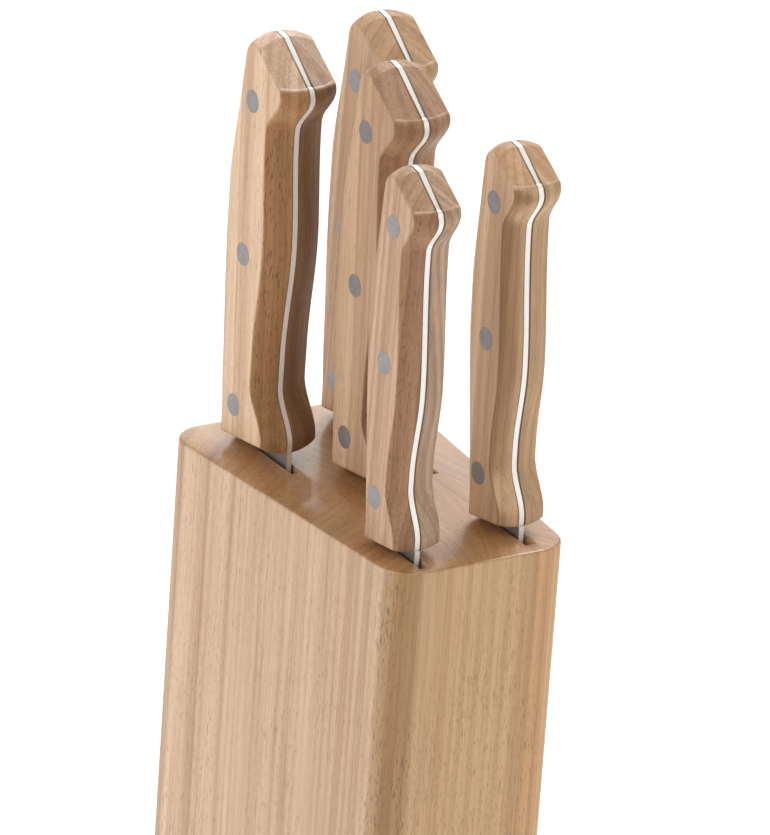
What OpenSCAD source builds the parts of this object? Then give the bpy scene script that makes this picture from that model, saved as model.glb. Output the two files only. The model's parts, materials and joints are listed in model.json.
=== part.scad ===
// Knife block with five knives. Millimetres, Z up.
// The block stands on its base pad, and the origin is the middle of the pad's underside.
// The block's narrow front faces -Y, and the whole block leans that way.
// Each knife stands in a slot along the block's own axis, cutting edge towards the front.

/* [Block] */
// Depth of the block from back to front, across its top
block_depth = 108; // [90:1:150]
// Width of the block at its back
block_back_w = 73; // [61:1:100]
// Width of the block at its front
block_front_w = 54.2; // [45:0.1:80]
// Radius of the four upright corners
block_corner_r = 10; // [6:0.5:14]
// Lean of the block towards its front, in degrees
block_lean = 7.3; // [0:0.1:15]
// Wood left under the longest slot, along the slot
slot_floor = 20; // [14:1:60]
// Thickness of the non-slip base pad
pad_t = 1.5; // [1:0.1:4]
// How far the pad is set in from the block's sides
pad_inset = 2.5; // [1:0.5:6]

/* [Slots] */
// Distance between neighbouring rows of slots
row_step = 16.8; // [14:0.1:22]
// Width of a slot
slot_w = 3; // [2.6:0.1:4]
// Slot left free in front of a cutting edge
slot_front_gap = 4.5; // [1:0.1:6]
// Slot left free behind a blade's back
slot_back_gap = 1; // [0.5:0.1:3]
// Slot left free below a blade's tip
slot_tip_gap = 5; // [1:0.5:12]
// Gap between a resting handle and the top of the block
rest_gap = 0.3; // [0.2:0.1:2]

/* [Steel] */
// Thickness of blade and tang
steel_t = 1.5; // [1.2:0.1:2.4]
// Full-thickness steel between the handle and the ground blade
ricasso = 12; // [6:1:20]
// Height of the full-thickness band along a blade's back
back_band = 4; // [2:0.5:6]
// Thickness left at a cutting edge
edge_t = 0.3; // [0.2:0.05:0.6]
// How far a blade's back steps in below the handle
back_step = 0.6; // [0:0.1:1]
// Diameter of a rivet
rivet_d = 6.3; // [4:0.1:8]
// How far a rivet's end stands proud of the wood
rivet_proud = 0.05; // [0.02:0.01:0.3]

/* [Both handles] */
// Slope of a handle's lower end, high at the cutting-edge side, in degrees
lower_slope = 8; // [4:1:14]
// Slope of a handle's butt, low at the cutting-edge side, in degrees
butt_slope = 30; // [15:1:35]
// Where the back swells out most, as shares of a handle's length
swell_from = 0.54; // [0.4:0.01:0.56]
swell_to = 0.6; // [0.58:0.01:0.7]
// Height of the beak's rounded nose
nose_l = 3.2; // [2:0.1:5]
// How far the nose stands out past the straight belly
nose_out = 0.2; // [0:0.1:1]
// Straight stretch of the belly at the lower end and below the beak
straight_l = 2.5; // [1:0.1:4]
// How far the butt's belly edge is drawn in
butt_in = 0.7; // [0.3:0.1:1.5]

/* [Large handle] */
// Width at the lower end
large_w = 24.6; // [20:0.1:30]
// Thickness over both scales
large_t = 17.4; // [14:0.1:21]
// Length from the lower end to the tip of the beak
large_l = 104.6; // [86:0.1:125]
// Width at the butt
large_butt_w = 23; // [19:0.1:27]
// How far the back swells out at its middle
large_swell = 3.6; // [0:0.1:5]
// Depth of the finger groove
large_groove = 6.8; // [2:0.1:8]
// Length of the flat in the finger groove
large_groove_l = 10; // [2:0.5:14]
// Height of the finger groove's lower end
large_groove_at = 16.5; // [12:0.5:20]
// Depth of the belly at the palm swell
large_palm = 4.3; // [0:0.1:6]
// Height of the palm swell
large_palm_at = 57; // [48:0.5:60]
// Depth of the recess under the beak
large_neck = 6.7; // [2:0.1:8]
// Height that the beak stands out over
large_beak_rise = 11; // [8:0.5:16]
// Rounding of the belly and back from side to side
large_bulge = 2.4; // [1:0.1:3.5]
// Crown of the lower end from side to side
large_low_crown = 2.4; // [0.5:0.1:3]
// Crown of the butt from side to side
large_butt_crown = 1; // [0.5:0.1:2.5]
// Radius at the top of the back
large_butt_r = 4; // [2:0.5:7]
// Distance of the rivets from the back of the lower end
large_rivet_in = 8.2; // [6:0.1:10]
// Height of the lowest rivet
large_rivet_low = 9.2; // [7:0.1:14]
// Distance of the top rivet below the tip of the beak
large_rivet_top = 7.9; // [4:0.1:12]

/* [Small handle] */
// Width at the lower end
small_w = 16.6; // [14:0.1:20]
// Thickness over both scales
small_t = 14.6; // [12:0.1:18]
// Length from the lower end to the tip of the beak
small_l = 95.9; // [79:0.1:115]
// Width at the butt
small_butt_w = 18.4; // [15:0.1:22]
// How far the back swells out at its middle
small_swell = 5; // [0:0.1:6]
// Depth of the finger groove
small_groove = 5.2; // [2:0.1:6]
// Length of the flat in the finger groove
small_groove_l = 4; // [2:0.5:14]
// Height of the finger groove's lower end
small_groove_at = 16; // [12:0.5:20]
// Depth of the belly at the palm swell
small_palm = 2.8; // [0:0.1:4]
// Height of the palm swell
small_palm_at = 43; // [36:0.5:50]
// Depth of the recess under the beak
small_neck = 5; // [2:0.1:6]
// Height that the beak stands out over
small_beak_rise = 10; // [7:0.5:14]
// Rounding of the belly and back from side to side
small_bulge = 1.5; // [1:0.1:2.5]
// Crown of the lower end from side to side
small_low_crown = 1.3; // [0.5:0.1:2]
// Crown of the butt from side to side
small_butt_crown = 1; // [0.5:0.1:2]
// Radius at the top of the back
small_butt_r = 3.6; // [2:0.1:6]
// Distance of the rivets from the back of the lower end
small_rivet_in = 5.1; // [4.5:0.1:8]
// Height of the lowest rivet
small_rivet_low = 12.2; // [7:0.1:14]
// Distance of the top rivet below the tip of the beak
small_rivet_top = 7.2; // [4:0.1:12]

/* [Bread knife] */
// Length of the blade below the handle
bread_l = 200; // [150:1:240]
// Height of the blade
bread_h = 23; // [18:0.5:30]
// Distance from the back of the block to the handle
bread_from_back = 9.4; // [5:0.1:14]
// Drop of the point below the back, as a share of the blade's height
bread_drop = 0.25; // [0.1:0.05:0.6]
// How late the cutting edge turns up towards the point
bread_sweep = 5; // [1.5:0.1:8]
// Length of one serration
serration_l = 6; // [4:0.5:10]
// Depth of a serration
serration_d = 1.2; // [0.6:0.1:2]

/* [Chef's knife] */
// Length of the blade below the handle
chef_l = 200; // [150:1:240]
// Height of the blade at its heel
chef_h = 42; // [34:0.5:50]
// Distance from the back of the block to the handle
chef_from_back = 6; // [5:0.1:10]
// Drop of the point below the back, as a share of the blade's height
chef_drop = 0.3; // [0.1:0.05:0.6]
// How late the cutting edge turns up towards the point
chef_sweep = 2.2; // [1.5:0.1:8]

/* [Carving knife] */
// Length of the blade below the handle
carving_l = 190; // [150:1:240]
// Height of the blade
carving_h = 24; // [18:0.5:30]
// Distance from the back of the block to the handle
carving_from_back = 39.8; // [36:0.1:46]
// Drop of the point below the back, as a share of the blade's height
carving_drop = 0.3; // [0.1:0.05:0.6]
// How late the cutting edge turns up towards the point
carving_sweep = 3.5; // [1.5:0.1:8]

/* [Paring knife] */
// Length of the blade below the handle
paring_l = 95; // [70:1:120]
// Height of the blade
paring_h = 16; // [12:0.5:20]
// Distance from the block's front corner, at the slot, to the handle
paring_from_front = 7.5; // [6.5:0.1:12]
// Drop of the point below the back, as a share of the blade's height
paring_drop = 0.4; // [0.1:0.05:0.6]
// How late the cutting edge turns up towards the point
paring_sweep = 2.4; // [1.5:0.1:8]

/* [Utility knife] */
// Length of the blade below the handle
utility_l = 125; // [90:1:160]
// Height of the blade
utility_h = 16; // [12:0.5:20]
// Distance from the block's front corner, at the slot, to the handle
utility_from_front = 9.7; // [6.5:0.1:12]
// How far the knife leans back in its slot, in degrees
utility_lean = 1.7; // [0:0.1:2]
// Drop of the point below the back, as a share of the blade's height
utility_drop = 0.4; // [0.1:0.05:0.6]
// How late the cutting edge turns up towards the point
utility_sweep = 2.8; // [1.5:0.1:8]

/* [Hidden] */

corner_steps = 12;     // flats on each upright corner
stations = 26;         // rings along a handle
columns = 4;           // points from the tang to the side face
blade_steps = 20;      // points along each side of a blade
tooth_steps = 6;       // points along one serration
extra = 1;             // overshoot of a cut past the solid
joined = 0.01;         // overlap that makes two shapes one

// ---- shared formulas ----
function unit(v) = v / norm(v);
function mix(a, b, t) = a + (b - a) * t;
function clamp(t) = min(max(t, 0), 1);
function ease(t) = let (u = clamp(t)) u * u * (3 - 2 * u);
function reversed(list) = [for (i = [len(list) - 1:-1:0]) list[i]];

// A smooth curve through stations [place, value], level at each station
function along(points, z, i = 0) =
  i >= len(points) - 2 || z <= points[i + 1][0]
    ? let (a = points[i], b = points[i + 1]) mix(a[1], b[1], ease((z - a[0]) / (b[0] - a[0])))
    : along(points, z, i + 1);

// ---- block outline, seen along the slots: x across, y towards the back ----
function corner_centre(before, at, after, r) =
  let (a = unit(before - at), b = unit(after - at))
  at + unit(a + b) * r / sin(acos(a * b) / 2);
function corner_arc(before, at, after, r) =
  let (
    d = unit(at - before),
    turn = 180 - acos(unit(before - at) * unit(after - at)),
    first = atan2(-d[0], d[1]),
    c = corner_centre(before, at, after, r)
  )
  [for (i = [0:corner_steps]) c + r * [cos(first + turn * i / corner_steps),
                                       sin(first + turn * i / corner_steps)]];
function block_corners(depth, back_w, front_w) =
  [[front_w, -depth] / 2, [back_w, depth] / 2, [-back_w, depth] / 2, [-front_w, -depth] / 2];
function rounded(pts, r) =
  [for (i = [0:3]) each corner_arc(pts[(i + 3) % 4], pts[i], pts[(i + 1) % 4], r)];

corners = block_corners(block_depth, block_back_w, block_front_w);
front_corner = corner_centre(corners[3], corners[0], corners[1], block_corner_r);

// Where the rounded front of the block lies at a distance x from the middle
function front_at(x) =
  let (over = max(x - front_corner[0], 0))
  front_corner[1] - sqrt(max(block_corner_r * block_corner_r - over * over, 0));

// ---- handles ----
// [width, thickness, length, butt width, belly curve, back curve, bulge, lower crown, butt radius,
//  rivet distance from the belly line, rivet heights, butt crown, height where the butt's arc starts]
function handle(w, t, l, butt_w, swell, groove, groove_l, groove_at, palm, palm_at, neck, rise,
                bulge, low_crown, butt_crown, butt_r, rivet_in, rivet_low, rivet_top) =
  let (
    neck_to = l - nose_l - rise,
    top = l + (butt_w - butt_in) * tan(butt_slope),
    back_to = top - butt_r / tan((90 - butt_slope) / 2),
    belly = [[straight_l, 0], [groove_at, groove], [groove_at + groove_l, groove],
             [palm_at, palm], [neck_to - straight_l, neck], [neck_to, neck],
             [l - nose_l, -nose_out], [l, butt_in]],
    back = [[0, w], [top * swell_from, w + swell], [top * swell_to, w + swell], [back_to, butt_w]]
  )
  [w, t, l, butt_w, belly, back, bulge, low_crown, butt_r, w - rivet_in,
   [rivet_low, (rivet_low + l - rivet_top) / 2, l - rivet_top], butt_crown, back_to];

large = handle(large_w, large_t, large_l, large_butt_w, large_swell, large_groove, large_groove_l,
               large_groove_at, large_palm, large_palm_at, large_neck, large_beak_rise,
               large_bulge, large_low_crown, large_butt_crown, large_butt_r,
               large_rivet_in, large_rivet_low, large_rivet_top);
small = handle(small_w, small_t, small_l, small_butt_w, small_swell, small_groove, small_groove_l,
               small_groove_at, small_palm, small_palm_at, small_neck, small_beak_rise,
               small_bulge, small_low_crown, small_butt_crown, small_butt_r,
               small_rivet_in, small_rivet_low, small_rivet_top);

function share(i) = (1 - cos(180 * i / stations)) / 2;
function lower_rise(h) = h[0] * tan(lower_slope);
function belly_z(h, i) = h[2] * share(i);
function belly_y(h, i) = along(h[4], belly_z(h, i));
// The back, as a point at a distance from its lower end: up the curve, then round onto the butt
function back_l(h) = h[12] + lower_rise(h) + h[8] * (90 + butt_slope) * PI / 180;
function back_point(h, d) =
  let (z = d - lower_rise(h), turn = (z - h[12]) / h[8] * 180 / PI)
  z <= h[12] ? [along(h[5], z), z] : [h[3] - h[8], h[12]] + h[8] * [cos(turn), sin(turn)];
function back_y(h, i) = back_point(h, back_l(h) * share(i))[0];
function back_z(h, i) = back_point(h, back_l(h) * share(i))[1];

// One point of ring i: side 0 is the belly and 1 the back, s runs from the tang to the side face
function ring_point(h, i, s, side) =
  let (
    half = mix(steel_t, h[1], s) / 2,
    out = s * s,
    y = side == 0 ? belly_y(h, i) + h[6] * out : back_y(h, i) - h[6] * out,
    lean = (back_z(h, i) - belly_z(h, i)) / (back_y(h, i) - belly_y(h, i)),
    z = belly_z(h, i) + (y - belly_y(h, i)) * lean
  )
  [half, y, z + out * mix(h[7], -h[11], share(i))];
function ring(h, i) = [
  for (k = [0:columns]) ring_point(h, i, k / columns, 0),
  for (k = [columns:-1:0]) ring_point(h, i, k / columns, 1),
];
// The tang's outline follows the scales
function tang_outline(h) = concat(
  [for (i = [0:stations]) [belly_y(h, i), belly_z(h, i)]],
  reversed([for (i = [0:stations]) [back_y(h, i), back_z(h, i)]])
);

// ---- knives: [handle, blade length, blade height, drop, sweep, x, y of the belly line, lean]
slot_half = slot_w / 2;
bread = [large, bread_l, bread_h, bread_drop, bread_sweep, -row_step,
         block_depth / 2 - bread_from_back - large_w, 0];
chef = [large, chef_l, chef_h, chef_drop, chef_sweep, row_step,
        block_depth / 2 - chef_from_back - large_w, 0];
carving = [large, carving_l, carving_h, carving_drop, carving_sweep, 0,
           block_depth / 2 - carving_from_back - large_w, 0];
paring = [small, paring_l, paring_h, paring_drop, paring_sweep, -row_step,
          front_at(row_step + slot_half) + paring_from_front, 0];
utility = [small, utility_l, utility_h, utility_drop, utility_sweep, row_step,
           front_at(row_step + slot_half) + utility_from_front, utility_lean];
knives = [bread, chef, carving, paring, utility];

// The belly corner's height over the block's top: a leaning knife stands on its back corner
function lift(k) = rest_gap + k[0][0] * tan(lower_slope + k[7]);
function heel_y(k) = spine_y(k) - k[2];                  // cutting edge, from the belly line
function spine_y(k) = k[0][0] - back_step;
function slot_depth(k) = k[1] + ricasso + slot_tip_gap - lift(k);

block_h = max([for (k = knives) slot_depth(k)]) + slot_floor
          + block_depth / 2 * tan(block_lean);

// ---- placing ----
module in_block() {
  translate([0, 0, pad_t]) rotate([block_lean, 0, 0]) children();
}
// The belly corner of a handle's lower end, at rest
module in_place(k) {
  in_block() translate([k[5], k[6], block_h + lift(k)]) rotate([-k[7], 0, 0]) children();
}

// ---- block ----
module block_body() {
  difference() {
    in_block() translate([0, 0, -block_depth / 2])
      linear_extrude(height = block_h + block_depth / 2)
        polygon(rounded(corners, block_corner_r));
    translate([-block_back_w, -block_depth, -block_depth])
      cube([2 * block_back_w, 3 * block_depth, block_depth + pad_t]);
  }
}
// A slot is milled into a board's glued face, on its left (side -1) or on its right (side 1)
module slot(k, side) {
  front = min(heel_y(k), 0) - slot_front_gap;
  back = k[0][0] + slot_back_gap;
  from_x = k[5] - slot_half - (side < 0 ? extra : 0);
  in_block() translate([from_x, k[6] + front, block_h - slot_depth(k)])
    cube([slot_w + extra, back - front, slot_depth(k) + extra]);
}
// The part of the block between two glue lines
module board(from_x, to_x) {
  intersection() {
    block_body();
    translate([from_x, -block_depth, 0]) cube([to_x - from_x, 3 * block_depth, 2 * block_h]);
  }
}
glue_left = -row_step + slot_half;
glue_middle = slot_half;
glue_right = row_step - slot_half;

module board_outer_left() {
  color([0.83, 0.67, 0.5]) difference() {
    board(-block_back_w, glue_left);
    slot(bread, 1);
    slot(paring, 1);
  }
}
module board_inner_left() {
  color([0.8, 0.63, 0.46]) difference() {
    board(glue_left, glue_middle);
    slot(carving, 1);
  }
}
module board_inner_right() {
  color([0.82, 0.66, 0.49]) board(glue_middle, glue_right);
}
module board_outer_right() {
  color([0.78, 0.6, 0.42]) difference() {
    board(glue_right, block_back_w);
    slot(chef, -1);
    slot(utility, -1);
  }
}
module base_pad() {
  inset = 2 * pad_inset;
  pad = block_corners(block_depth / cos(block_lean) - inset, block_back_w - inset,
                      block_front_w - inset);
  color([0.16, 0.16, 0.17]) linear_extrude(height = pad_t)
    polygon(rounded(pad, block_corner_r - pad_inset));
}

// ---- knife pieces, drawn around the belly corner of the handle's lower end ----
module rivet_rod(k, level, length) {
  translate([-length / 2, k[0][9], k[0][10][level]]) rotate([0, 90, 0])
    cylinder(d = rivet_d, h = length, $fn = 48);
}
module rivet_bores(k) {
  for (level = [0:2]) rivet_rod(k, level, k[0][1] + 2 * extra);
}

// Blade outline: back down to the tip, then the cutting edge back up to the heel
function blade_outline(k, toothed) =
  let (
    low = -ricasso,
    tip_y = spine_y(k) - k[2] * k[3],
    back = [for (i = [0:blade_steps]) let (d = i / blade_steps)
            [mix(spine_y(k), tip_y, pow(d, 6)), low - k[1] * d]],
    teeth = toothed ? floor(k[1] / serration_l) * tooth_steps : blade_steps,
    edge = [for (i = [0:teeth]) let (d = 1 - i / teeth)
            [mix(heel_y(k), tip_y, pow(d, k[4]))
             + (toothed ? serration_d * abs(sin(180 * k[1] * d / serration_l)) * (1 - d) : 0),
             low - k[1] * d]]
  )
  concat(back, [for (i = [1:teeth]) edge[i]]);

module blade_blank(points) {
  translate([-steel_t / 2, 0, 0]) rotate([90, 0, 90]) linear_extrude(height = steel_t)
    polygon(points);
}
// Cross-section of the ground blade: full at the back, thin at the edge
module grind(k) {
  edge = heel_y(k) - extra;
  top = spine_y(k);
  translate([0, 0, -ricasso - k[1] - extra]) linear_extrude(height = k[1] + 2 * extra)
    polygon([[-steel_t / 2, top + extra], [-steel_t / 2, top - back_band], [-edge_t / 2, edge],
             [edge_t / 2, edge], [steel_t / 2, top - back_band], [steel_t / 2, top + extra]]);
}
module steel(k, toothed = false) {
  color([0.75, 0.76, 0.78]) in_place(k) difference() {
    union() {
      blade_blank(tang_outline(k[0]));
      blade_blank([[0, joined], [0, -ricasso], [spine_y(k), -ricasso],
                   [spine_y(k), joined - spine_y(k) * tan(lower_slope)]]);
      intersection() {
        blade_blank(blade_outline(k, toothed));
        grind(k);
      }
    }
    rivet_bores(k);
  }
}
module scale(k, side) {
  rings = [for (i = [0:stations]) ring(k[0], i)];
  n = 2 * (columns + 1);
  last = stations * n;
  walls = [for (i = [0:stations - 1]) for (j = [0:n - 1])
           let (a = i * n + j, b = i * n + (j + 1) % n) [a, b, b + n, a + n]];
  low_end = [for (j = [0:columns - 1]) [j, n - 1 - j, n - 2 - j, j + 1]];
  butt_end = [for (face = low_end) [for (q = reversed(face)) q + last]];
  color([0.76, 0.56, 0.4]) in_place(k) mirror([side < 0 ? 1 : 0, 0, 0]) difference() {
    polyhedron([for (r = rings) each r], concat(walls, low_end, butt_end), convexity = 6);
    rivet_bores(k);
  }
}
module rivet(k, level) {
  color([0.6, 0.58, 0.56]) in_place(k) rivet_rod(k, level, k[0][1] + 2 * rivet_proud);
}

board_outer_left();
board_inner_left();
board_inner_right();
board_outer_right();
base_pad();
steel(bread, true);  // bread_blade
scale(bread, -1);  // bread_scale_left
scale(bread, 1);  // bread_scale_right
rivet(bread, 0);  // bread_rivet_low
rivet(bread, 1);  // bread_rivet_middle
rivet(bread, 2);  // bread_rivet_top
steel(chef);  // chef_blade
scale(chef, -1);  // chef_scale_left
scale(chef, 1);  // chef_scale_right
rivet(chef, 0);  // chef_rivet_low
rivet(chef, 1);  // chef_rivet_middle
rivet(chef, 2);  // chef_rivet_top
steel(carving);  // carving_blade
scale(carving, -1);  // carving_scale_left
scale(carving, 1);  // carving_scale_right
rivet(carving, 0);  // carving_rivet_low
rivet(carving, 1);  // carving_rivet_middle
rivet(carving, 2);  // carving_rivet_top
steel(paring);  // paring_blade
scale(paring, -1);  // paring_scale_left
scale(paring, 1);  // paring_scale_right
rivet(paring, 0);  // paring_rivet_low
rivet(paring, 1);  // paring_rivet_middle
rivet(paring, 2);  // paring_rivet_top
steel(utility);  // utility_blade
scale(utility, -1);  // utility_scale_left
scale(utility, 1);  // utility_scale_right
rivet(utility, 0);  // utility_rivet_low
rivet(utility, 1);  // utility_rivet_middle
rivet(utility, 2);  // utility_rivet_top
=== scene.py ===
import json
import math

import bmesh
import bpy
from mathutils import Matrix, Vector


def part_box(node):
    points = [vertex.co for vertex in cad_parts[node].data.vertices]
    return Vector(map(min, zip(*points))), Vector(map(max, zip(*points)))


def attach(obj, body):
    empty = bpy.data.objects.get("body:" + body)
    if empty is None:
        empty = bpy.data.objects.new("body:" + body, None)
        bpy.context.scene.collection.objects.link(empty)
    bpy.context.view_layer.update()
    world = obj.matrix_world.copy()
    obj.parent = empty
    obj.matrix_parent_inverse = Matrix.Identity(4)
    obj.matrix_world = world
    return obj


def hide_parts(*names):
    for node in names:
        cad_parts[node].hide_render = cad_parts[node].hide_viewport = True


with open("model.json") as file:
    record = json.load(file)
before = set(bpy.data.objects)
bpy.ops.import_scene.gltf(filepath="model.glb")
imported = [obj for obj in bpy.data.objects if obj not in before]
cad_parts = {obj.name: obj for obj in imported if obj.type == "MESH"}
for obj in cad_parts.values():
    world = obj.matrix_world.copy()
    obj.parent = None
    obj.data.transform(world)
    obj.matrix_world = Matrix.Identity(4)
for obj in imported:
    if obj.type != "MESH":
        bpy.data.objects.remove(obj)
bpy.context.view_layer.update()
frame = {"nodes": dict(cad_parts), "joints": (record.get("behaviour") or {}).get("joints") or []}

MM = 0.001


# ---------------------------------------------------------------- sizes, in millimetres

BLOCK_DEPTH, BLOCK_BACK_W, BLOCK_FRONT_W, BLOCK_CORNER_R = 108, 73, 54.2, 10
SLOT_W, SLOT_FRONT_GAP, SLOT_BACK_GAP, SLOT_TIP_GAP = 3, 4.5, 1, 5
TOP_EASING, SLOT_EASING = 0.8, 0.35
STEEL_T, RICASSO, BACK_BAND, EDGE_T = 1.5, 12, 4, 0.3
BLADE_STEP_IN, PLUNGE_L, POINT_H = 0.6, 7, 0.4
TANG_PROUD, TANG_GROOVE = -0.25, 0.4
RIVET_D, RIVET_LEVELS = 6.3, ("low", "middle", "top")
LOWER_SLOPE, BUTT_SLOPE = math.radians(8), math.radians(30)
NOSE_L, NOSE_OUT, BUTT_IN, STRAIGHT_L = 3.2, 0.2, 0.7, 2.5
SWELL_FROM, SWELL_TO = 0.54, 0.6
LOW_END_SHARE = 0.6

LARGE = {
    "w": 24.6, "t": 17.4, "l": 104.6, "butt_w": 23, "swell": 3.6, "groove": 6.8, "groove_l": 10,
    "groove_at": 16.5, "palm": 4.3, "palm_at": 57, "neck": 6.7, "rise": 11, "bulge": 2.4,
    "low_crown": 2.4, "butt_crown": 1, "butt_r": 4, "rivet_in": 8.2, "rivet_low": 9.2,
    "end_r": 1.3, "edge_r": 0.7,
}
SMALL = {
    "w": 16.6, "t": 14.6, "l": 95.9, "butt_w": 18.4, "swell": 5, "groove": 5.2, "groove_l": 4,
    "groove_at": 16, "palm": 2.8, "palm_at": 43, "neck": 5, "rise": 10, "bulge": 1.5,
    "low_crown": 1.3, "butt_crown": 1, "butt_r": 3.6, "rivet_in": 5.1, "rivet_low": 12.2,
    "end_r": 1.1, "edge_r": 0.6,
}
KNIVES = {
    "bread": {"handle": LARGE, "l": 200, "h": 23, "tip": 0.25, "power": 5, "teeth": 33},
    "chef": {"handle": LARGE, "l": 200, "h": 42, "tip": 0.3, "power": 2.2, "teeth": 0},
    "carving": {"handle": LARGE, "l": 190, "h": 24, "tip": 0.3, "power": 3.5, "teeth": 0},
    "paring": {"handle": SMALL, "l": 95, "h": 16, "tip": 0.4, "power": 2.4, "teeth": 0},
    "utility": {"handle": SMALL, "l": 125, "h": 16, "tip": 0.4, "power": 2.8, "teeth": 0},
}
TOOTH_DEPTH = 1.2
GUARD_L, GUARD_SQUARE = 15, 0.8
# share of a scale's edge rounding that also draws in the belly and the back
EDGE_DRAWS_IN = 0.55
# how late the blade's back turns down to the point
BACK_POWER = 6

# how finely the pieces are divided
CORNER_STEPS, EASING_STEPS, CIRCLE_STEPS = 18, 3, 48
HANDLE_RINGS, BLADE_RINGS, TOOTH_RINGS = 60, 40, 5
SIDE_COLUMNS, EDGE_COLUMNS = 5, 5
# widest angle that is still shaded smooth, in degrees
BOARD_SMOOTH, SCALE_SMOOTH, STEEL_SMOOTH = 35, 28, 25
# how far a cutter runs past what it cuts, how close counts as the same place, and how close is joined
CUT_PAST, NEAR, WELD = 1, 0.01, 0.001
# least turn of a ring worth making, and least height of a scale's crown, which is never quite flat
LEAST_TURN, LEAST_CROWN = 1e-6, 0.01

# the way from each board to the glued face that its slots are milled into, and whose slots they are
BOARD_SLOTS = {
    "board_outer_left": (1, ("bread", "paring")),
    "board_inner_left": (1, ("carving",)),
    "board_inner_right": (1, ()),
    "board_outer_right": (-1, ("chef", "utility")),
}


# ---------------------------------------------------------------- where things are, from the frame

LIFT_AXIS = frame["joints"][0]["axis"]
LEAN = math.atan2(-LIFT_AXIS[1], LIFT_AXIS[2])
PAD_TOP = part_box("base_pad")[1].z
IN_BLOCK = Matrix.Translation((0, 0, PAD_TOP)) @ Matrix.Rotation(LEAN, 4, "X")
BLOCK_H = (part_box("board_inner_left")[1].z - PAD_TOP
           - BLOCK_DEPTH / 2 * MM * math.sin(LEAN)) / math.cos(LEAN) / MM


def rivet_centre(name, level):
    """The middle of a rivet, in the block's own frame and in millimetres."""
    low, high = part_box(f"{name}_rivet_{level}")
    return IN_BLOCK.inverted() @ ((low + high) / 2) / MM


def knife_lean(name):
    """How far a knife leans back in its slot: the turn of its row of rivets."""
    row = rivet_centre(name, "top") - rivet_centre(name, "low")
    return math.atan2(row.y, row.z)


def belly_corner(name):
    """The belly corner of a handle's lower end, in the block's own frame, from its lowest rivet."""
    handle = KNIVES[name]["handle"]
    up = Vector((0, handle["w"] - handle["rivet_in"], handle["rivet_low"]))
    return rivet_centre(name, "low") - Matrix.Rotation(-knife_lean(name), 3, "X") @ up


# ---------------------------------------------------------------- curves of the handles

def mix(a, b, t):
    return a + (b - a) * t


def ease(t):
    t = min(max(t, 0), 1)
    return t * t * (3 - 2 * t)


def along(points, z):
    """A smooth curve through (place, value) stations, level at each."""
    for (z0, v0), (z1, v1) in zip(points, points[1:]):
        if z <= z1:
            break
    return mix(v0, v1, ease((z - z0) / (z1 - z0)))


def round_in(r, past):
    """How far a surface draws in where it runs past the start of a rounding of radius r."""
    past = min(max(past, 0), r)
    return r - math.sqrt(r * r - past * past)


def butt_top(h):
    """Where the butt's slope would meet the back if their corner were sharp."""
    return h["l"] + (h["butt_w"] - BUTT_IN) * math.tan(BUTT_SLOPE)


def back_point(h, d, back_to):
    """The back at a distance from its lower end: up the curve, then round onto the butt."""
    top = butt_top(h)
    full = h["w"] + h["swell"]
    back = [(0, h["w"]), (top * SWELL_FROM, full), (top * SWELL_TO, full), (back_to, h["butt_w"])]
    z = d - h["w"] * math.tan(LOWER_SLOPE)
    if z <= back_to:
        return along(back, z), z
    r = h["butt_r"]
    turn = (z - back_to) / r
    return h["butt_w"] - r + r * math.cos(turn), back_to + r * math.sin(turn)


def ring_share(i):
    """How far along a handle its ring i is; the rings stand closer together at both ends."""
    return (1 - math.cos(math.pi * i / HANDLE_RINGS)) / 2


def handle_ring(h, i):
    """Belly (y, z) and back (y, z) of ring i of a handle, and how far its end rounding draws in."""
    share = ring_share(i)
    neck_to = h["l"] - NOSE_L - h["rise"]
    belly = [(STRAIGHT_L, 0), (h["groove_at"], h["groove"]), (h["groove_at"] + h["groove_l"], h["groove"]),
             (h["palm_at"], h["palm"]), (neck_to - STRAIGHT_L, h["neck"]), (neck_to, h["neck"]),
             (h["l"] - NOSE_L, -NOSE_OUT), (h["l"], BUTT_IN)]
    corner = math.pi / 2 - BUTT_SLOPE
    back_to = butt_top(h) - h["butt_r"] / math.tan(corner / 2)
    back_l = back_to + h["w"] * math.tan(LOWER_SLOPE) + h["butt_r"] * (math.pi - corner)
    belly_z = h["l"] * share
    back_y, back_z = back_point(h, back_l * share, back_to)
    end = min(belly_z, h["l"] - belly_z)
    r = h["end_r"] if belly_z > h["l"] / 2 else h["end_r"] * LOW_END_SHARE
    drawn = round_in(r, r - end)
    return (along(belly, belly_z) + drawn, belly_z), (back_y - drawn, back_z), drawn


def across(belly, back):
    """The width and the tilt of a ring, from its (y, z) at the belly and at the back."""
    y, z = back[0] - belly[0], back[1] - belly[1]
    return math.hypot(y, z), math.atan2(z, y)


# ---------------------------------------------------------------- modelling

def only(obj):
    """Makes obj the one selected and active object."""
    bpy.ops.object.select_all(action="DESELECT")
    obj.select_set(True)
    bpy.context.view_layer.objects.active = obj


def added(name):
    """The primitive just added, named."""
    obj = bpy.context.active_object
    obj.name = obj.data.name = name
    return obj


def pick(obj, test, kind="faces"):
    """In edit mode, selects the faces, edges or vertices that pass a test."""
    bpy.ops.mesh.select_all(action="DESELECT")
    mode = {"faces": "FACE", "edges": "EDGE", "verts": "VERT"}[kind]
    bpy.ops.mesh.select_mode(type=mode)
    mesh = bmesh.from_edit_mesh(obj.data)
    for item in getattr(mesh, kind):
        if test(item):
            item.select_set(True)
    bmesh.update_edit_mesh(obj.data)


def ends(edge):
    return edge.verts[0].co / MM, edge.verts[1].co / MM


def metres(*values):
    return tuple(v * MM for v in values)


def edit():
    bpy.ops.object.mode_set(mode="EDIT")


def edit_all():
    """Goes into edit mode with everything selected."""
    edit()
    bpy.ops.mesh.select_all(action="SELECT")


def done():
    bpy.ops.object.mode_set(mode="OBJECT")


def move(x, y, z):
    bpy.ops.transform.translate(value=metres(x, y, z))


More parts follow.
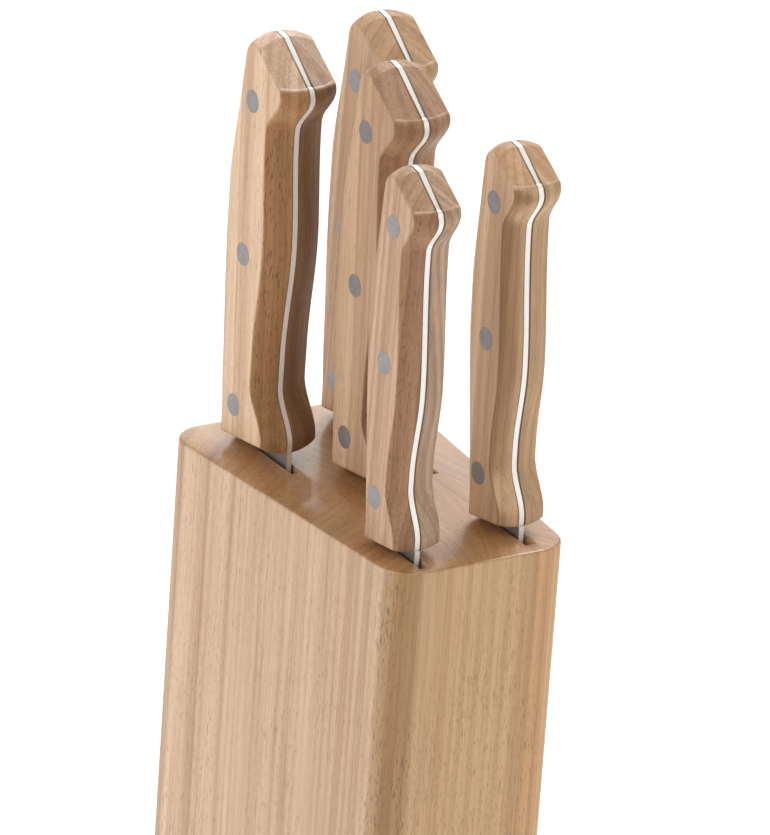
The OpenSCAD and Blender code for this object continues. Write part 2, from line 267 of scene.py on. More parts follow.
def extrude(x, y, z):
    bpy.ops.mesh.extrude_region_move(TRANSFORM_OT_translate={"value": metres(x, y, z)})


def resize(factors, centre):
    """Scales the selection about a place given in millimetres."""
    bpy.ops.transform.resize(value=factors, center_override=metres(*centre))


def tilt(angle, centre):
    """Turns the selection about X, by the right-hand rule; the operator itself turns the other way."""
    bpy.ops.transform.rotate(value=-angle, orient_axis="X", center_override=metres(*centre))


def soften(obj, angle):
    only(obj)
    bpy.ops.object.shade_smooth_by_angle(angle=math.radians(angle))


def put(obj, place):
    """Moves a finished piece to its place and leaves the object itself at the origin."""
    only(obj)
    obj.matrix_world = place
    bpy.ops.object.transform_apply(location=True, rotation=True, scale=True)
    edit_all()
    bpy.ops.mesh.remove_doubles(threshold=WELD * MM)
    bpy.ops.mesh.normals_make_consistent(inside=False)
    done()


def copied(obj, name):
    new = obj.copy()
    new.data = obj.data.copy()
    new.name = new.data.name = name
    bpy.context.scene.collection.objects.link(new)
    return new


def cut_out(obj, cutter):
    """Takes the cutter's shape out of obj."""
    only(obj)
    cut = obj.modifiers.new("cut", "BOOLEAN")
    cut.operation = "DIFFERENCE"
    cut.solver = "EXACT"
    cut.object = cutter
    bpy.ops.object.modifier_apply(modifier=cut.name)
    bpy.data.objects.remove(cutter)


# ---- block

def upright(edge, side):
    """Whether an edge of the block runs along the slots, at the front (-1) or at the back (1)."""
    a, b = ends(edge)
    return (a.xy - b.xy).length < NEAR and a.y * side > 0


def block_body():
    """The whole block in its own frame: tapered, round-cornered, eased on top, sawn level below."""
    below = BLOCK_DEPTH / 2
    bpy.ops.mesh.primitive_cube_add(size=1)
    body = added("block_body")
    edit_all()
    bpy.ops.transform.resize(value=metres(BLOCK_BACK_W, BLOCK_DEPTH, BLOCK_H + below))
    move(0, 0, (BLOCK_H - below) / 2)
    pick(body, lambda v: v.co.y < 0, "verts")
    resize((BLOCK_FRONT_W / BLOCK_BACK_W, 1, 1), (0, 0, 0))
    taper = math.atan2((BLOCK_BACK_W - BLOCK_FRONT_W) / 2, BLOCK_DEPTH)
    for side in (-1, 1):
        corner = math.pi / 2 - side * taper
        pick(body, lambda e: upright(e, side), "edges")
        bpy.ops.mesh.bevel(offset=BLOCK_CORNER_R * MM / math.tan(corner / 2), offset_type="OFFSET",
                           segments=CORNER_STEPS, profile=0.5, affect="EDGES")
    pick(body, lambda e: min(p.z for p in ends(e)) > BLOCK_H - NEAR, "edges")
    bpy.ops.mesh.bevel(offset=TOP_EASING * MM, offset_type="OFFSET", segments=EASING_STEPS, affect="EDGES")
    bpy.ops.mesh.select_all(action="SELECT")
    bpy.ops.mesh.bisect(plane_co=(0, 0, 0), plane_no=(0, math.sin(LEAN), math.cos(LEAN)),
                        use_fill=True, clear_inner=True)
    done()
    return body


def slot_cutter(name, side):
    """The shape of a knife's slot, flared at its mouth and run out past the board's glued face."""
    knife = KNIVES[name]
    h = knife["handle"]
    corner = belly_corner(name)
    spine = h["w"] - BLADE_STEP_IN
    front = corner.y + min(spine - knife["h"], 0) - SLOT_FRONT_GAP
    back = corner.y + h["w"] + SLOT_BACK_GAP
    middle = corner.x + side * CUT_PAST / 2, (front + back) / 2
    depth = knife["l"] + RICASSO + SLOT_TIP_GAP - (corner.z - BLOCK_H)
    flare = 2 * SLOT_EASING
    bpy.ops.mesh.primitive_cube_add(size=1)
    cutter = added("slot_cutter")
    edit_all()
    bpy.ops.transform.resize(value=metres(SLOT_W + CUT_PAST, back - front, depth))
    move(*middle, BLOCK_H - depth / 2)
    pick(cutter, lambda f: f.calc_center_median().z / MM > BLOCK_H - NEAR)
    move(0, 0, -SLOT_EASING)
    extrude(0, 0, SLOT_EASING)
    resize((1 + flare / SLOT_W, 1 + flare / (back - front), 1), (*middle, BLOCK_H))
    extrude(0, 0, CUT_PAST)
    done()
    return cutter


def make_boards():
    """The four boards of the block, cut apart at their glue lines, each with its slots."""
    body = block_body()
    step = belly_corner("chef").x
    half = SLOT_W / 2
    glue = [-BLOCK_BACK_W, half - step, half, step - half, BLOCK_BACK_W]
    for (name, (side, knives)), left, right in zip(BOARD_SLOTS.items(), glue, glue[1:]):
        board = copied(body, name + "_wood")
        only(board)
        edit()
        for x, inner in ((left, True), (right, False)):
            bpy.ops.mesh.select_all(action="SELECT")
            bpy.ops.mesh.bisect(plane_co=metres(x, 0, 0), plane_no=(1, 0, 0), use_fill=True,
                                clear_inner=inner, clear_outer=not inner)
        done()
        for knife in knives:
            cut_out(board, slot_cutter(knife, side))
        put(board, IN_BLOCK)
        soften(board, BOARD_SMOOTH)
        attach(board, "block")
        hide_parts(name)
    bpy.data.objects.remove(body)


# ---- handles

def next_ring(before, after, thin=1, crown=1):
    """Extrudes the selected end from one tilted ring to the next. A ring is (belly, back)."""
    (b_y, b_z), (y, z) = before[0], after[0]
    (old_width, was), (width, now) = across(*before), across(*after)
    pivot = (0, y, z)
    extrude(0, y - b_y, z - b_z)
    if abs(was) > LEAST_TURN:
        tilt(-was, pivot)
    resize((1, width / old_width, crown), pivot)
    if thin != 1:
        resize((thin, 1, 1), (STEEL_T / 2, y, z))
    if abs(now) > LEAST_TURN:
        tilt(now, pivot)


def span_of(h):
    """Thickness of one scale at its middle."""
    return (h["t"] - STEEL_T) / 2


def scale_columns(h):
    """Section of a scale from the tang out to its side face: (distance, how far each edge is in)."""
    half, tang, r = h["t"] / 2, STEEL_T / 2, h["edge_r"]
    columns = [(tang, TANG_GROOVE), (tang + TANG_GROOVE, 0)]
    flat = half - r - tang - TANG_GROOVE
    steps = [tang + TANG_GROOVE + flat * k / SIDE_COLUMNS for k in range(1, SIDE_COLUMNS + 1)]
    steps += [half - r + r * math.sin(math.radians(90 * k / EDGE_COLUMNS))
              for k in range(1, EDGE_COLUMNS + 1)]
    for x in steps:
        share = (x - tang) / (half - tang)
        columns.append((x, h["bulge"] * share * share + round_in(r, x - (half - r)) * EDGE_DRAWS_IN))
    return columns


def crown_at(h, i):
    """How far the side face stands above the tang at ring i: up at the lower end, down at the butt."""
    crown = mix(h["low_crown"], -h["butt_crown"], ring_share(i))
    return crown if abs(crown) > LEAST_CROWN else LEAST_CROWN


def start_scale(h, name, ring):
    """The lower end of a right-hand scale, left in edit mode and selected."""
    belly, back, drawn = ring
    width, slope = across(belly, back)
    middle = (0, belly[0] + width / 2, belly[1])
    span = span_of(h)
    narrow = (span - drawn) / span
    columns = []
    for x, inset in scale_columns(h):
        out = x - STEEL_T / 2
        up = h["low_crown"] * (out / span) ** 2
        columns.append((STEEL_T / 2 + out * narrow, width - 2 * inset, up))
    (x0, first_wide, _), (x1, wide, _) = columns[:2]
    middle_x = (x0 + x1) / 2
    bpy.ops.mesh.primitive_plane_add(size=1)
    scale = added(name)
    edit_all()
    bpy.ops.transform.resize(value=metres(x1 - x0, first_wide, 1))
    move(middle_x, *middle[1:])
    pick(scale, lambda v: v.co.x > middle_x * MM, "verts")
    resize((1, wide / first_wide, 1), middle)
    pick(scale, lambda e: min(p.x for p in ends(e)) > x1 - NEAR, "edges")
    for (x0, was_wide, up0), (x1, wide, up1) in zip(columns[1:], columns[2:]):
        extrude(x1 - x0, 0, up1 - up0)
        resize((1, wide / was_wide, 1), middle)
    bpy.ops.mesh.select_mode(type="FACE")
    bpy.ops.mesh.select_all(action="SELECT")
    tilt(slope, (0, *belly))
    return scale


def make_scale(h, name):
    """The right-hand scale of a handle, around the belly corner of its lower end."""
    rings = [handle_ring(h, i) for i in range(HANDLE_RINGS + 1)]
    span = span_of(h)
    scale = start_scale(h, name, rings[0])
    for i, (before, after) in enumerate(zip(rings, rings[1:])):
        thin = (span - after[2]) / (span - before[2])
        next_ring(before[:2], after[:2], thin, crown_at(h, i + 1) / crown_at(h, i))
    done()
    square_guard(scale, h, rings)
    return scale


def square_guard(scale, h, rings):
    """Takes most of the bulge out of the belly at its lower end, where the finger guard is square."""
    ring_size = 2 * len(scale_columns(h))
    first = [v.co / MM for v in scale.data.vertices[:ring_size]]
    belly = [(place, (p.x - STEEL_T / 2) / span_of(h)) for place, p in enumerate(first) if p.y < h["w"] / 2]
    only(scale)
    edit()
    for i, ((_, z), _, _) in enumerate(rings):
        left = GUARD_SQUARE * (1 - ease(z / GUARD_L))
        if left == 0:
            break
        for place, out in belly:
            pick(scale, lambda v: v.index == i * ring_size + place, "verts")
            move(0, -h["bulge"] * out * out * left, 0)
    done()


def bore(scale, h, centres):
    """Drills the rivet holes through a scale."""
    for centre in centres:
        bpy.ops.mesh.primitive_cylinder_add(vertices=CIRCLE_STEPS, radius=RIVET_D / 2 * MM,
                                            depth=2 * h["t"] * MM, location=metres(0, centre.y, centre.z),
                                            rotation=(0, math.pi / 2, 0))
        cut_out(scale, added("rivet_cutter"))


# ---- steel

def make_steel(knife, name):
    """Blade and full tang in one piece, around the belly corner of the handle's lower end."""
    h = knife["handle"]
    spine = h["w"] - BLADE_STEP_IN
    bpy.ops.mesh.primitive_plane_add(size=1)
    steel = added(name)
    edit_all()
    bpy.ops.transform.resize(value=metres(STEEL_T, spine, 1))
    move(0, spine / 2, -RICASSO)
    pick(steel, lambda e: abs(ends(e)[0].y - ends(e)[1].y) > NEAR, "edges")
    bpy.ops.mesh.subdivide(number_cuts=1)
    pick(steel, lambda v: abs(v.co.y / MM - spine / 2) < NEAR, "verts")
    move(0, spine / 2 - BACK_BAND, 0)
    bpy.ops.mesh.select_mode(type="FACE")
    bpy.ops.mesh.select_all(action="SELECT")
    rings = [handle_ring(h, i)[:2] for i in range(HANDLE_RINGS + 1)]
    rings = [((a[0] - TANG_PROUD, a[1]), (b[0] + TANG_PROUD, b[1])) for a, b in rings]
    lower = ((0, rings[0][0][1]), (spine, -spine * math.tan(LOWER_SLOPE)))
    shape = [((0, -RICASSO), (spine, -RICASSO)), lower] + rings
    for before, after in zip(shape, shape[1:]):
        next_ring(before, after)
    pick(steel, lambda f: f.calc_center_median().z / MM < NEAR - RICASSO)
    draw_blade(knife, spine)
    done()
    thin_edge(steel)
    return steel


def draw_blade(knife, spine):
    """Extrudes the blade down from the selected end, from the heel to the tip."""
    heel, tip_y = spine - knife["h"], spine - knife["h"] * knife["tip"]
    teeth = knife["teeth"]
    count = teeth * TOOTH_RINGS if teeth else BLADE_RINGS
    old_edge, old_back, old_z = 0, spine, -RICASSO
    for i in range(count + 1):
        share = i / count
        back = mix(spine, tip_y, share ** BACK_POWER)
        edge = mix(heel, tip_y, share ** knife["power"])
        if teeth:
            edge += TOOTH_DEPTH * abs(math.sin(math.pi * share * teeth)) * (1 - share)
        edge = min(edge, back - POINT_H)
        z = -RICASSO - knife["l"] * share
        extrude(0, back - old_back, z - old_z)
        resize((1, (back - edge) / (old_back - old_edge), 1), (0, back, z))
        old_edge, old_back, old_z = edge, back, z


def thin_edge(steel):
    """Grinds the blade from its band along the back down to a thin cutting edge."""
    rows = {}
    for vertex in steel.data.vertices:
        place = vertex.co / MM
        if place.z < NEAR - RICASSO:
            rows.setdefault(round(place.z, 3), []).append((place.y, vertex.index))
    only(steel)
    edit()
    for z, row in rows.items():
        edge_y = min(row)[0]
        edge = {index for y, index in row if y < edge_y + NEAR}
        share = ease((-RICASSO - z) / PLUNGE_L)
        pick(steel, lambda v: v.index in edge, "verts")
        resize((mix(STEEL_T, EDGE_T, share) / STEEL_T, 1, 1), (0, 0, 0))
    done()


def flatten_normals(obj):
    """Lets the large faces of a scale keep their own shading beside its rounded edges."""
    only(obj)
    smooth = obj.modifiers.new("flat_faces", "WEIGHTED_NORMAL")
    smooth.keep_sharp = True
    bpy.ops.object.modifier_apply(modifier=smooth.name)


def make_knives():
    """Every knife's steel and scales, each on its own body. Handles of one size share one pattern."""
    for size, h in (("large", LARGE), ("small", SMALL)):
        pattern = make_scale(h, size + "_scale")
        names = [name for name, knife in KNIVES.items() if knife["handle"] is h]
        first = belly_corner(names[0])
        bore(pattern, h, [rivet_centre(names[0], level) - first for level in RIVET_LEVELS])
        for name in names:
            lean = Matrix.Rotation(-knife_lean(name), 4, "X")
            place = IN_BLOCK @ Matrix.Translation(belly_corner(name) * MM) @ lean
            for side, way in (("right", 1), ("left", -1)):
                scale = copied(pattern, f"{name}_handle_{side}")
                put(scale, place @ Matrix.Diagonal((way, 1, 1, 1)))
                soften(scale, SCALE_SMOOTH)
                flatten_normals(scale)
                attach(scale, name + "_knife")
                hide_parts(f"{name}_scale_{side}")
            steel = make_steel(KNIVES[name], name + "_steel")
            put(steel, place)
            soften(steel, STEEL_SMOOTH)
            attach(steel, name + "_knife")
            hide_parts(name + "_blade")
        bpy.data.objects.remove(pattern)


# ---------------------------------------------------------------- finishes

class Value:
    """A number that a node gives, with Python's arithmetic on it."""

    def __init__(self, finish, socket):
        self.finish = finish
        self.socket = socket

    def maths(self, operation, *numbers):
        return self.finish.node("ShaderNodeMath", {"operation": operation}, dict(enumerate(numbers)))

    def __add__(self, other):
        return self.maths("ADD", self, other)

    __radd__ = __add__

    def __sub__(self, other):
        return self.maths("SUBTRACT", self, other)

    def __rsub__(self, other):
        return self.maths("SUBTRACT", other, self)

    def __mul__(self, other):
        return self.maths("MULTIPLY", self, other)

    __rmul__ = __mul__

    def __truediv__(self, other):
        return self.maths("DIVIDE", self, other)

    def __pow__(self, other):
        return self.maths("POWER", self, other)

    def __abs__(self):
        return self.maths("ABSOLUTE", self)

    def fract(self):
        return self.maths("FRACT", self)

    def rise(self, low, high):
        """0 up to low, 1 from high on, and a smooth rise between them."""
        return self.finish.node("ShaderNodeMapRange", {"interpolation_type": "SMOOTHSTEP"},
                                {"Value": self, "From Min": low, "From Max": high})


class Finish:
    """A material, with the one way that its nodes are made."""

    def __init__(self, name, **shader):
        self.material = bpy.data.materials.new(name)
        self.material.use_nodes = True
        self.tree = self.material.node_tree
        self.shader = self.tree.nodes["Principled BSDF"]
        for socket, value in shader.items():
            self.feed(self.shader.inputs[socket.replace("_", " ").title()], value)

    def feed(self, socket, value):
        if isinstance(value, Value):
            self.tree.links.new(value.socket, socket)
        else:
            socket.default_value = value

    def node(self, kind, settings=None, inputs=None, out=0):
        node = self.tree.nodes.new(kind)
        for name, value in (settings or {}).items():
            setattr(node, name, value)
        for name, value in (inputs or {}).items():
            self.feed(node.inputs[name], value)
        return Value(self, node.outputs[out])

    def set(self, socket, value):
        self.feed(self.shader.inputs[socket], value)

    def along_grain(self, turn=(0, 0)):
        """Object coordinates turned so that Z runs along the slots, then turned a little more."""
        here = self.node("ShaderNodeTexCoord", out="Object")
        upright = self.node("ShaderNodeMapping", inputs={"Vector": here, "Rotation": (-LEAN, 0, 0)})
        turned = (math.radians(turn[0]), math.radians(turn[1]), 0)
        return self.node("ShaderNodeMapping", inputs={"Vector": upright, "Rotation": turned})

    def part(self, vector, axis):
        """X, Y or Z of a vector, as axis 0, 1 or 2."""
        return self.node("ShaderNodeSeparateXYZ", inputs={0: vector}, out=axis)

    def facing(self, direction):
        """How squarely the surface faces a direction of the block's own frame, from -1 to 1."""
        normal = self.node("ShaderNodeTexCoord", out="Normal")
        way = IN_BLOCK.to_3x3() @ Vector(direction)
        return self.node("ShaderNodeVectorMath", {"operation": "DOT_PRODUCT"},
                         {0: normal, 1: tuple(way)}, out="Value")

    def noise(self, place, across, along, detail=2.0, rough=0.5):
        """Cloudy noise with so many features a metre across and along the grain."""
        stretched = self.node("ShaderNodeMapping",
                              inputs={"Vector": place, "Scale": (across, across, along)})
        return self.node("ShaderNodeTexNoise",
                         inputs={"Vector": stretched, "Scale": 1.0, "Detail": detail, "Roughness": rough})

    def bands(self, year, scale):
        """Soft bands that follow the year rings, around 0."""
        noise = self.node("ShaderNodeTexNoise", {"noise_dimensions": "1D"},
                          {"W": year, "Scale": scale, "Detail": 1.5, "Roughness": 0.6})
        return noise - 0.5

    def blend(self, share, a, b, how="MIX"):
        """Colour a going over to colour b."""
        return self.node("ShaderNodeMix", {"data_type": "RGBA", "blend_type": how, "clamp_factor": True},
                         {0: share, 6: a, 7: b}, out=2)

    def toned(self, colour, tone):
        """The colour multiplied by a tone."""
        return self.blend(1.0, colour, tone + (1.0,), "MULTIPLY")

    def bump(self, height, depth, strength):
        return self.node("ShaderNodeBump",
                         inputs={"Height": height, "Distance": depth * MM, "Strength": strength})


# features a metre across and along the grain, then detail and roughness, of the wood's noises
GRAIN = {
    "wander": (14, 4, 1), "ripple": (70, 11, 1), "fibres": (2100, 34, 3, 0.65), "strands": (640, 15, 2),
    "clouds": (34, 9, 2), "dashes": (2600, 420, 1), "long_dashes": (1900, 180, 1),
    "pores": (2600, 2600, 1),
}
# how many bands to a year, from the widest to the thinnest
WIDE_BANDS, BANDS, THIN_BANDS = 0.4, 1.0, 4.5
# the levels of a noise, or of how squarely the surface faces a way, between which something comes in
COMES_IN = {
    "dashes": (0.57, 0.68), "long_dashes": (0.62, 0.74), "clouds": (0.28, 0.56), "pores": (0.55, 0.75),
    "pink": (-0.02, 0.16), "corner": (0.74, 0.98), "front": (0.35, 0.85), "end_grain": (0.62, 0.9),
    "steel_face": (0.5, 0.85),
}
PINK = (1.02, 0.975, 0.96)
END_GRAIN = (0.84, 0.67, 0.44)
# the wood's dark colour, darkened for a seam, for the flecks and for the pores of the end grain
SEAM_TONE, FLECK_TONE, PORE_TONE = (0.4, 0.32, 0.26), (0.62, 0.52, 0.44), (0.6, 0.52, 0.46)


def tinted(colour, factor):
    return tuple(c * f for c, f in zip(colour, factor)) + (1.0,)


def beech(name, light, dark, rings, turn=(0, 0), front=(1, 1, 1), top=END_GRAIN,
          drift=None, corner=None, seam=None, figure=1.0, fleck=1.0, gloss=0.6):
    """Steamed beech: year rings around a pith line, fibres, ray flecks, and closer, darker end grain.

    rings is the pith in the block's own frame and the pitch. front and top are the tones of what faces the
    front and of the end grain: on the boards the own hue of their front faces and their own end grain, on
    the handles a painted shade of the belly, partly the wood's own darker tone, and a butt whose end grain
    is partly a painted sheen. drift is a tone that the wood goes over to between two places along Y, and
    corner is a direction and the painted shade of the surface that faces it. seam is a dark line in the
    wood: where it lies along X, its full and its outer half width, and how much of it shows. figure, fleck
    and gloss say how strong the rings, the flecks and the shine of the end grain are.
    """
    wood = Finish(name, coat_roughness=0.16)
    place = wood.along_grain(turn)

    def noise(kind):
        return wood.noise(place, *GRAIN[kind])

    along_y = wood.part(place, 1)
    (pith_x, pith_y), pitch = rings
    off_x = wood.part(place, 0) - pith_x * MM
    off_y = along_y - pith_y * MM
    wander = noise("wander") * 1.6 + noise("ripple") * 0.35
    year = (off_x * off_x + off_y * off_y) ** 0.5 / (pitch * MM) + wander
    wide_bands = wood.bands(year, WIDE_BANDS)
    bands = wood.bands(year, BANDS)
    thin_bands = wood.bands(year, THIN_BANDS)
    late = year.fract() ** 3
    fibres = noise("fibres")
    dashes = noise("dashes").rise(*COMES_IN["dashes"])
    long_dashes = noise("long_dashes").rise(*COMES_IN["long_dashes"])
    clouds = noise("clouds").rise(*COMES_IN["clouds"])
    flecks = (dashes * 0.7 + long_dashes * 0.7) * clouds * fleck
    depth = ((wide_bands * 0.85 + bands * 0.65 + thin_bands * 0.15 + (late - 0.25) * 0.24) * figure
             + (fibres - 0.5) * 0.8 + (noise("strands") - 0.5) * 0.8 + 0.5)
    colour = wood.blend(depth, light + (1.0,), dark + (1.0,))
    pink_bands = (wide_bands + thin_bands * 0.4).rise(*COMES_IN["pink"])
    colour = wood.blend(pink_bands, colour, wood.toned(colour, PINK))
    if drift:
        start, end, tone = drift
        gone_over = (along_y + bands * 0.02).rise(start * MM, end * MM)
        colour = wood.blend(gone_over, colour, wood.toned(colour, tone))
    # painted shade on what faces the corner direction; the wood's flecks also grow denser there
    if corner:
        direction, tone = corner
        corner_painted_shade = wood.facing(direction).rise(*COMES_IN["corner"])
        colour = wood.blend(corner_painted_shade, colour, wood.toned(colour, tone))
        flecks = flecks * (0.6 + corner_painted_shade * 0.8)
    if seam:
        middle, full, outer, share = seam
        side = wood.part(wood.along_grain(), 0)
        line = 1 - abs(side - middle * MM).rise(full * MM, outer * MM)
        colour = wood.blend(line * share, colour, tinted(dark, SEAM_TONE))
    colour = wood.blend(flecks * 0.65, colour, tinted(dark, FLECK_TONE))
    # what faces the front takes the front tone: on the boards their own hue, on the handles a painted shade
    # of the belly
    faces_front = wood.facing((0, -1, 0)).rise(*COMES_IN["front"])
    colour = wood.blend(faces_front, colour, wood.toned(colour, front))
    end_grain = abs(wood.facing((0, 0, 1))).rise(*COMES_IN["end_grain"])
    pores = noise("pores").rise(*COMES_IN["pores"])
    # the top tone: on the boards the end grain's own colour, on the handles partly a painted sheen that
    # lightens and whitens the butt
    ends_colour = wood.blend(pores * 0.25, wood.toned(colour, top), tinted(dark, PORE_TONE))
    wood.set("Base Color", wood.blend(end_grain, colour, ends_colour))
    wood.set("Roughness", 0.42 + fibres * 0.16 - end_grain * (0.25 * gloss))
    wood.set("Coat Weight", end_grain * gloss)
    wood.set("Normal", wood.bump(fibres * 0.6 - flecks * 0.5 - late * 0.3, 0.05, 0.5))
    return wood.material


PALE, TAN = (0.63, 0.44, 0.29), (0.37, 0.233, 0.137)
SAND, FAWN = (0.7, 0.5, 0.34), (0.44, 0.29, 0.185)
# the way that surfaces with a painted shade face: to the front and the left
TO_FRONT_LEFT = (-0.62, -0.78, 0)

# pith in the block's own frame and ring pitch, light, dark, tone of what faces the front, the rest
BOARDS = {
    # the corner tone of the outer left board is a painted shade on its rounded front corner
    "board_outer_left": (((-95, 110), 2.6), PALE, TAN, (1.03, 0.98, 0.82),
                         {"drift": (-40, 0, (1.1, 1.14, 1.2)),
                          "corner": (TO_FRONT_LEFT, (0.78, 0.73, 0.6)), "fleck": 1.35}),
    "board_inner_left": (((-150, -20), 1.5), SAND, FAWN, (0.96, 0.89, 0.7), {}),
    "board_inner_right": (((-140, 15), 1.6), SAND, FAWN, (0.96, 0.89, 0.7), {}),
    "board_outer_right": (((140, 30), 2.3), (0.68, 0.455, 0.29), (0.42, 0.255, 0.145), (0.99, 0.9, 0.7),
                          {"seam": (14.9, 0.3, 2.8, 0.4)}),
}

# where the pith of a scale's wood lies from the belly corner, to the side and to the front
PITH_ASIDE, PITH_BEFORE = 34, 21
# half widths and strength of the dark line in a scale's wood along the tang
TANG_LINE = (0.95, 1.3, 0.75)

# light, dark, turn of the grain in degrees, ring pitch, tone of what faces the front on the left scale and
# on the right one, a painted shade of the belly that is partly the wood's own darker tone, tone of the
# butt's end grain, partly a painted sheen, tone of what faces the front left, a painted shade
HANDLES = {
    "bread": ((0.77, 0.55, 0.38), (0.46, 0.3, 0.185), (1.5, 1), 2.6,
              (0.66, 0.53, 0.34), (0.36, 0.27, 0.17), (1.22, 1.3, 1.52), (0.95, 0.9, 0.85)),
    "chef": ((0.69, 0.485, 0.32), (0.4, 0.255, 0.15), (-2.5, 1), 2.8,
             (0.8, 0.72, 0.62), (0.8, 0.72, 0.62), (1.0, 0.92, 0.85), (0.95, 0.9, 0.85)),
    "carving": ((0.65, 0.44, 0.285), (0.36, 0.225, 0.135), (3.5, -1), 2.7,
                (0.72, 0.62, 0.5), (0.7, 0.6, 0.5), (0.92, 0.86, 0.86), (0.85, 0.78, 0.7)),
    "paring": ((0.6, 0.385, 0.25), (0.32, 0.19, 0.11), (-3, 1.5), 2.5,
               (0.74, 0.63, 0.52), (0.9, 0.95, 1.0), (1.15, 1.18, 1.25), (0.9, 0.84, 0.76)),
    "utility": ((0.7, 0.49, 0.32), (0.42, 0.275, 0.165), (2, -1.5), 2.3,
                (1.0, 0.93, 0.82), (0.82, 0.75, 0.62), (1.05, 0.97, 0.92), (0.5, 0.41, 0.3)),
}


# scratches of the steel to a metre, along X, Y and Z
SCRATCHES = (900, 40, 4200)


def steel_finish():
    """Ground stainless steel: fine lines across the blade, and a painted highlight on its narrow edges, a
    matt near-white colour with less metal in it.
    """
    steel = Finish("ground_steel")
    place = steel.along_grain()
    lines = steel.node("ShaderNodeMapping", inputs={"Vector": place, "Scale": SCRATCHES})
    scratches = steel.node("ShaderNodeTexNoise",
                           inputs={"Vector": lines, "Scale": 1.0, "Detail": 3.0, "Roughness": 0.65})
    clouds = steel.noise(place, 60, 40)
    # the narrow edges get a painted highlight: a near-white base colour and less metal
    narrow = 1 - abs(steel.facing((1, 0, 0))).rise(*COMES_IN["steel_face"])
    flat = steel.blend(scratches, (0.42, 0.43, 0.46, 1.0), (0.64, 0.65, 0.68, 1.0))
    bright = steel.blend(scratches, (0.88, 0.85, 0.82, 1.0), (0.98, 0.95, 0.92, 1.0))
    steel.set("Base Color", steel.blend(narrow, flat, bright))
    steel.set("Metallic", 0.9 - narrow * 0.6)
    steel.set("Roughness", 0.24 + scratches * 0.16 + clouds * 0.08 + narrow * 0.1)
    steel.set("Normal", steel.bump(scratches, 0.01, 0.3))
    return steel.material


def rivet_finish():
    """Rivet ends sanded flush with the wood: dull grey, with fine crossing scratches."""
    rivet = Finish("rivet_metal", metallic=1.0)
    lines = rivet.noise(rivet.along_grain((27, 0)), 5200, 300, 2, 0.6)
    place = rivet.along_grain((-38, 0))
    crossing = rivet.noise(place, 4300, 260, 2, 0.6)
    clouds = rivet.noise(place, 300, 300)
    share = lines * 0.5 + crossing * 0.5 + (clouds - 0.5) * 0.6
    rivet.set("Base Color", rivet.blend(share, (0.23, 0.22, 0.225, 1.0), (0.42, 0.4, 0.4, 1.0)))
    rivet.set("Roughness", 0.42 + lines * 0.16)
    rivet.set("Normal", rivet.bump(lines + crossing, 0.012, 0.4))
    return rivet.material


def pad_finish():
    """Black rubber sheet with a fine pebbled skin."""
    pad = Finish("pad_rubber")
    place = pad.along_grain()
    pebbles = pad.noise(place, 1500, 1500)
    clouds = pad.noise(place, 90, 90)
    pad.set("Base Color", pad.blend(clouds, (0.018, 0.018, 0.019, 1.0), (0.045, 0.045, 0.047, 1.0)))
    pad.set("Roughness", 0.7 + pebbles * 0.2)
    pad.set("Normal", pad.bump(pebbles, 0.12, 0.6))
    return pad.material


def coat(obj, material):
    """Gives the whole of a piece, or of a node kept from the frame, one finish."""
    if not obj.material_slots:
        obj.data.materials.append(material)
    for one in obj.material_slots:
        one.material = material


def finish_everything():
    for name, (rings, light, dark, front, more) in BOARDS.items():
        wood = beech(name + "_beech", light, dark, rings, front=front, **more)
        coat(bpy.data.objects[name + "_wood"], wood)
    steel = steel_finish()
    rivet = rivet_finish()
    # edge is the painted shade of what faces the front left
    for name, (light, dark, turn, pitch, left_belly_shade, right_belly_shade, butt, edge) in HANDLES.items():
        corner = belly_corner(name)
        for side, way, front in (("left", 1, left_belly_shade), ("right", -1, right_belly_shade)):
            rings = (corner.x + way * PITH_ASIDE, corner.y - PITH_BEFORE), pitch
            wood = beech(f"{name}_beech_{side}", light, dark, rings, turn, front=front, top=butt,
                         corner=(TO_FRONT_LEFT, edge), seam=(corner.x, *TANG_LINE),
                         figure=1.5, fleck=1.2, gloss=0)
            coat(bpy.data.objects[f"{name}_handle_{side}"], wood)
        coat(bpy.data.objects[name + "_steel"], steel)
        for level in RIVET_LEVELS:
            coat(frame["nodes"][f"{name}_rivet_{level}"], rivet)
    coat(frame["nodes"]["base_pad"], pad_finish())


# ---------------------------------------------------------------- camera, light, floor

# turn and height in degrees; the rest in metres
CAMERA_TURN, CAMERA_HEIGHT, CAMERA_AWAY = -31.19, 16.9, 2.18
LENS_LENGTH, SENSOR_HEIGHT = 345, 36
AIM, AIM_RIGHT, AIM_UP = (0, 0, 0.2), 0.017, 0.0484
LAMPS_AIM = (0, 0, 0.25)
FLOOR_SIZE = 14
# place, size, power and colour
SOFTBOXES = {
    "left_softbox": ((-2.1, 0.35, 1.25), 1.8, 29, (1.0, 0.985, 0.98)),
    "front_softbox": ((1.6, -1.9, 1.2), 1.4, 15, (1.0, 0.99, 0.95)),
    "back_card": ((1.5, 2.4, 1.15), 2.2, 16, (1.0, 0.99, 0.97)),
    "top_softbox": ((0.9, 0.55, 1.85), 0.6, 14.5, (1.0, 0.99, 0.97)),
}


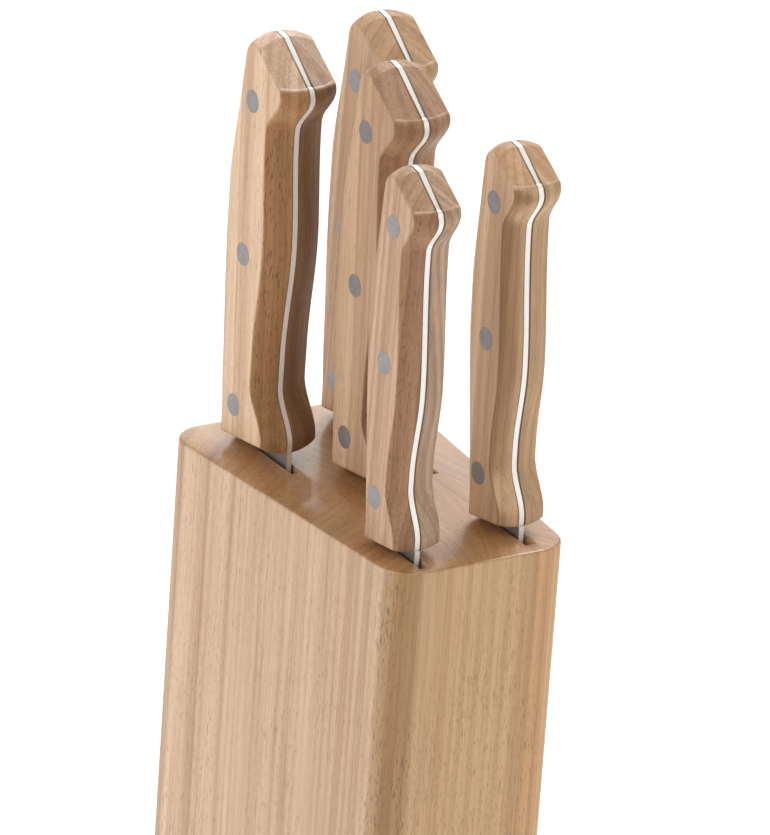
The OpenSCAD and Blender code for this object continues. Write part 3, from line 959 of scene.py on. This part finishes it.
def aimed_camera():
    """A long lens, turned to the block's left and a little above it."""
    lens = bpy.data.cameras.new("camera")
    lens.sensor_fit = "VERTICAL"
    lens.sensor_height = SENSOR_HEIGHT
    lens.lens = LENS_LENGTH
    camera = bpy.data.objects.new("camera", lens)
    bpy.context.scene.collection.objects.link(camera)
    bpy.context.scene.camera = camera
    turn, height = math.radians(CAMERA_TURN), math.radians(CAMERA_HEIGHT)
    back = Vector((math.sin(turn) * math.cos(height), -math.cos(turn) * math.cos(height), math.sin(height)))
    right = Vector((math.cos(turn), math.sin(turn), 0))
    up = back.cross(right)
    target = Vector(AIM) + right * AIM_RIGHT + up * AIM_UP
    axes = Matrix((right, up, back)).transposed().to_4x4()
    camera.matrix_world = Matrix.Translation(target + back * CAMERA_AWAY) @ axes


def softbox(name, place, size, power, colour):
    lamp = bpy.data.lights.new(name, "AREA")
    lamp.size = size
    lamp.energy = power
    lamp.color = colour
    light = bpy.data.objects.new(name, lamp)
    bpy.context.scene.collection.objects.link(light)
    light.location = place
    light.rotation_euler = (Vector(LAMPS_AIM) - Vector(place)).to_track_quat("-Z", "Y").to_euler()


def make_floor():
    """A white sheet, bright enough to be lost in the background."""
    bpy.ops.mesh.primitive_plane_add(size=FLOOR_SIZE)
    floor = added("floor")
    paper = Finish("floor_paper", roughness=0.9)
    paper.set("Base Color", (0.93, 0.93, 0.93, 1.0))
    paper.set("Emission Color", (0.86, 0.9, 1.0, 1.0))
    paper.set("Emission Strength", 0.3)
    coat(floor, paper.material)


def make_stage():
    aimed_camera()
    make_floor()
    world = bpy.data.worlds.new("studio")
    bpy.context.scene.world = world
    world.use_nodes = True
    sky = world.node_tree.nodes["Background"]
    sky.inputs["Color"].default_value = (1.0, 0.95, 0.88, 1.0)
    sky.inputs["Strength"].default_value = 0.45
    for name, (place, size, power, colour) in SOFTBOXES.items():
        softbox(name, place, size, power, colour)
    bpy.context.scene.view_settings.view_transform = "Standard"


make_boards()
make_knives()
finish_everything()
make_stage()
